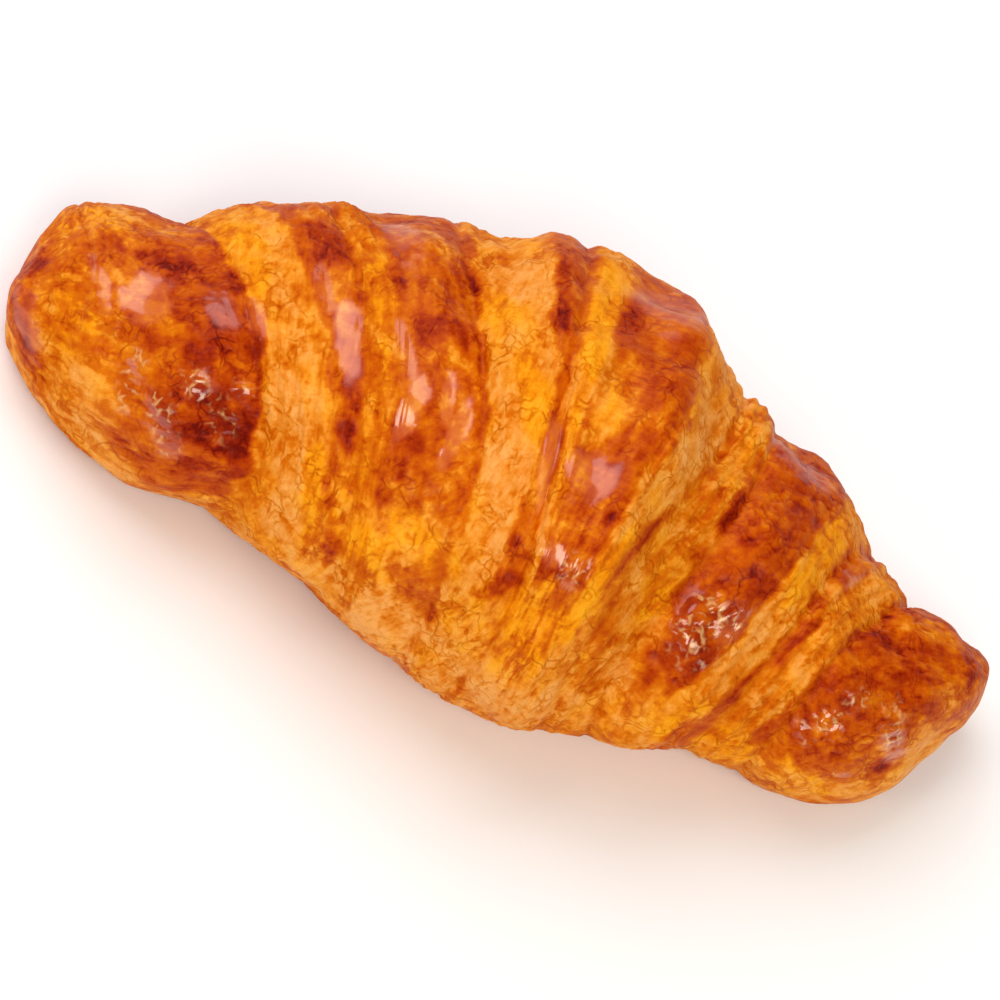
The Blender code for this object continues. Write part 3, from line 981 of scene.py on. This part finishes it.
def nodes_of(material):
    """The material's node tree and its shader, with a function that adds a node with given settings."""
    material.use_nodes = True
    tree = material.node_tree
    shader = tree.nodes["Principled BSDF"]

    def add(kind, **settings):
        node = tree.nodes.new(kind)
        for key, value in settings.items():
            setattr(node, key, value)
        return node

    return tree, shader, add


def srgb(red, green, blue):
    """A colour as the photograph shows it, from 0 to 255, as the linear values that a shader takes."""
    share = np.array([red, green, blue]) / 255
    linear = np.where(share <= 0.04045, share / 12.92, ((share + 0.055) / 1.055) ** 2.4)
    return (*linear.tolist(), 1)


def crust_material():
    """Baked dough: colour by browning, with fibres, grain and crackle in it, glossy where the egg wash pooled
    and matte on the cuts. The crackle's gaps are painted darker as shade and its rims paler as highlight, the
    pools are tinted salmon as a painted sheen, and the glints carry cream lines, partly pale flake and partly
    painted highlight."""
    material = bpy.data.materials.new("baked_crust")
    tree, shader, add = nodes_of(material)
    link = tree.links.new

    def attribute(name, output="Fac"):
        return add("ShaderNodeAttribute", attribute_name=name).outputs[output]

    def math_node(operation, a, b=None, clamp=False):
        node = add("ShaderNodeMath", operation=operation, use_clamp=clamp)
        for socket, value in zip(node.inputs, (a, b)):
            if value is None:
                continue
            if isinstance(value, (int, float)):
                socket.default_value = value
            else:
                link(value, socket)
        return node.outputs[0]

    def times(a, b):
        return math_node("MULTIPLY", a, b)

    def plus(a, b):
        return math_node("ADD", a, b)

    place = add("ShaderNodeTexCoord").outputs["Object"]

    def speckle(vector, scale, detail, roughness=0.6):
        """Noise less its middle value."""
        node = add("ShaderNodeTexNoise")
        node.inputs["Scale"].default_value = scale
        node.inputs["Detail"].default_value = detail
        node.inputs["Roughness"].default_value = roughness
        link(vector, node.inputs["Vector"])
        return math_node("SUBTRACT", node.outputs["Fac"], 0.5)

    def drawn_out(name):
        """Noise less its middle value, drawn out along the grain of the named rows, at its strength there."""
        mapping = add("ShaderNodeMapping")
        mapping.inputs["Scale"].default_value = (*FIBRE_SCALE, 1.0)
        link(attribute(name + "_lay", "Vector"), mapping.inputs["Vector"])
        return times(speckle(mapping.outputs["Vector"], 1.0, 2), attribute(name))

    def near_zero(value, width):
        """1 where the value is 0, falling to 0 at the width to either side."""
        away = math_node("ABSOLUTE", value)
        return math_node("SUBTRACT", 1.0, times(away, 1 / width), clamp=True)

    def crackle():
        """The distance from the edges of warped cells, about 2 mm wide, as a share of their size."""
        warp = add("ShaderNodeTexNoise")
        warp.inputs["Scale"].default_value = CRACKLE_WARP_SCALE
        warp.inputs["Detail"].default_value = 2
        link(place, warp.inputs["Vector"])
        moved = add("ShaderNodeVectorMath", operation="MULTIPLY_ADD")
        link(warp.outputs["Color"], moved.inputs[0])
        moved.inputs[1].default_value = (CRACKLE_WARP, CRACKLE_WARP, CRACKLE_WARP)
        link(place, moved.inputs[2])
        cells = add("ShaderNodeTexVoronoi", feature="DISTANCE_TO_EDGE")
        cells.inputs["Scale"].default_value = CRACKLE_SCALE
        link(moved.outputs["Vector"], cells.inputs["Vector"])
        return cells.outputs["Distance"]

    def colour_ramp(share, colours):
        """The colours in turn as the share goes from 0 to 1."""
        ramp = add("ShaderNodeValToRGB")
        elements = ramp.color_ramp.elements
        elements.remove(elements[1])
        elements[0].position, colour = colours[0]
        elements[0].color = srgb(*colour)
        for position, colour in colours[1:]:
            elements.new(position).color = srgb(*colour)
        link(share, ramp.inputs["Fac"])
        return ramp.outputs["Color"]

    band = attribute("band")
    pools = attribute("pools")
    glints = attribute("glints")
    top = math_node("SUBTRACT", 1.0, band)
    fine = speckle(place, FINE_SCALE, 3, 0.65)
    grain = speckle(place, GRAIN_SCALE, 1)
    fibres = plus(drawn_out("even"), drawn_out("odd"))
    smooth = math_node("MAXIMUM", times(pools, 0.7), times(glints, 0.85))
    rugged = math_node("SUBTRACT", 1.0, smooth)

    # Crackle, which comes and goes: sunk gaps painted darker as shade, with a raised rim on either side
    # painted paler as highlight.
    edge = crackle()
    cracked = times(speckle(place, CRACKLE_PATCH_SCALE, 1), 5.0)
    cracked = times(math_node("ADD", cracked, 0.5, clamp=True), rugged)
    gaps = times(near_zero(edge, 0.10), cracked)
    rims = times(near_zero(math_node("SUBTRACT", edge, 0.22), 0.14), cracked)

    # Short winding raised lines at the glints, mixed towards cream below: partly pale flake edges, partly a
    # painted highlight.
    lines = times(near_zero(speckle(place, GLINT_LINE_SCALE, 1, 0.3), 0.10), glints)
    broken = times(speckle(place, FINE_SCALE, 1), 9.0)
    lines = times(lines, math_node("ADD", broken, 0.3, clamp=True))

    # Colour.
    toast = plus(attribute("toast"), times(fine, 0.34))
    # Painted shade in the crackle's gaps and a painted highlight on its rims.
    toast = plus(toast, plus(times(gaps, 0.13), times(rims, -0.09)))
    toast = plus(toast, times(fibres, 0.45))
    toast = math_node("ADD", toast, times(grain, 0.20), clamp=True)
    dough = add("ShaderNodeMix", data_type="RGBA")
    link(attribute("golden"), dough.inputs["Factor"])
    link(colour_ramp(toast, PEACH_COLOURS), dough.inputs["A"])
    link(colour_ramp(toast, GOLDEN_COLOURS), dough.inputs["B"])
    # The pools are mixed towards salmon, a painted sheen of the lamps on the glaze.
    pooled = add("ShaderNodeMix", data_type="RGBA")
    link(times(pools, plus(0.28, times(fine, 0.8))), pooled.inputs["Factor"])
    link(dough.outputs["Result"], pooled.inputs["A"])
    pooled.inputs["B"].default_value = srgb(*POOL_SHEEN_COLOUR)
    # The glint lines are mixed towards cream: partly pale flake, partly a painted highlight.
    glint_highlighted = add("ShaderNodeMix", data_type="RGBA")
    link(times(lines, 0.7), glint_highlighted.inputs["Factor"])
    link(pooled.outputs["Result"], glint_highlighted.inputs["A"])
    glint_highlighted.inputs["B"].default_value = srgb(*GLINT_HIGHLIGHT_COLOUR)
    link(glint_highlighted.outputs["Result"], shader.inputs["Base Color"])

    # Gloss.
    rough = plus(0.46, times(band, 0.16))
    rough = plus(rough, times(speckle(place, ROUGHNESS_SCALE, 2), 0.3))
    rough = math_node("SUBTRACT", rough, times(pools, 0.12), clamp=True)
    link(rough, shader.inputs["Roughness"])
    shader.inputs["Specular IOR Level"].default_value = 0.04
    coat = plus(times(top, 0.03), times(pools, 0.80))
    coat = math_node("ADD", coat, times(glints, 0.9), clamp=True)
    link(coat, shader.inputs["Coat Weight"])
    shader.inputs["Coat Roughness"].default_value = 0.14
    shader.inputs["Coat IOR"].default_value = 1.7

    # Relief.
    bump = add("ShaderNodeBump")
    bump.inputs["Strength"].default_value = 0.8
    bump.inputs["Distance"].default_value = 0.0004
    height = plus(times(fine, 0.55), times(fibres, 0.6))
    height = math_node("SUBTRACT", height, times(gaps, 0.2))
    height = plus(times(height, rugged), plus(times(rims, 0.10), times(lines, 0.35)))
    link(height, bump.inputs["Height"])
    link(bump.outputs["Normal"], shader.inputs["Normal"])
    return material


def floor_material():
    """A matte near-white sheet."""
    material = bpy.data.materials.new("pale_floor")
    _, shader, _ = nodes_of(material)
    shader.inputs["Base Color"].default_value = FLOOR_COLOUR
    shader.inputs["Roughness"].default_value = 0.8
    shader.inputs["Specular IOR Level"].default_value = 0.1
    return material


def make_floor():
    """A wide flat sheet at the height that the croissant rests on."""
    reach = FLOOR_REACH
    corners = [(-reach, -reach, 0), (reach, -reach, 0), (reach, reach, 0), (-reach, reach, 0)]
    mesh = bpy.data.meshes.new("floor")
    mesh.from_pydata(corners, [], [(0, 1, 2, 3)])
    mesh.materials.append(floor_material())
    floor = bpy.data.objects.new("floor", mesh)
    bpy.context.scene.collection.objects.link(floor)


def soft_light(name, place, width, height, power, colour):
    """A flat lamp aimed at the middle of the croissant, with its width level."""
    lamp = bpy.data.lights.new(name, "AREA")
    lamp.shape = "RECTANGLE"
    lamp.size = width
    lamp.size_y = height
    lamp.energy = power
    lamp.color = colour
    light = bpy.data.objects.new(name, lamp)
    light.location = place
    light.rotation_mode = "QUATERNION"
    light.rotation_quaternion = (Vector(place) - Vector(LAMP_AIM)).to_track_quat("Z", "Y")
    bpy.context.scene.collection.objects.link(light)


def make_lights():
    """A wide soft box high on the left, three small lamps in front for the glints, a pale low wall behind,
    and an even surround."""
    for name, settings in LAMPS.items():
        soft_light(name, *settings)
    world = bpy.data.worlds.new("surround")
    world.use_nodes = True
    background = world.node_tree.nodes["Background"]
    background.inputs["Color"].default_value = SURROUND_COLOUR
    background.inputs["Strength"].default_value = SURROUND_STRENGTH
    world.cycles_visibility.glossy = False
    bpy.context.scene.world = world


def make_camera():
    """A long lens at the photograph's angle, rolled so that the croissant lies across the picture."""
    azimuth, elevation = math.radians(CAMERA_AZIMUTH), math.radians(CAMERA_ELEVATION)
    level = math.cos(elevation)
    back = Vector((math.sin(azimuth) * level, -math.cos(azimuth) * level, math.sin(elevation)))
    data = bpy.data.cameras.new("camera")
    data.lens = CAMERA_LENS
    data.sensor_width = CAMERA_SENSOR
    data.clip_start = 0.01
    camera = bpy.data.objects.new("camera", data)
    upright = (-back).to_track_quat("-Z", "Y").to_matrix()
    turned = upright @ Matrix.Rotation(math.radians(CAMERA_ROLL), 3, "Z")
    camera.rotation_mode = "QUATERNION"
    camera.rotation_quaternion = turned.to_quaternion()
    camera.location = Vector(CAMERA_TARGET) + back * CAMERA_DISTANCE
    bpy.context.scene.collection.objects.link(camera)
    bpy.context.scene.camera = camera


def main():
    make_camera()
    crust = make_crust()
    crust.data.materials.append(crust_material())
    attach(crust, "root")
    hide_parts("croissant")
    make_floor()
    make_lights()
    view = bpy.context.scene.view_settings
    view.view_transform = "Standard"
    view.look = "None"


main()
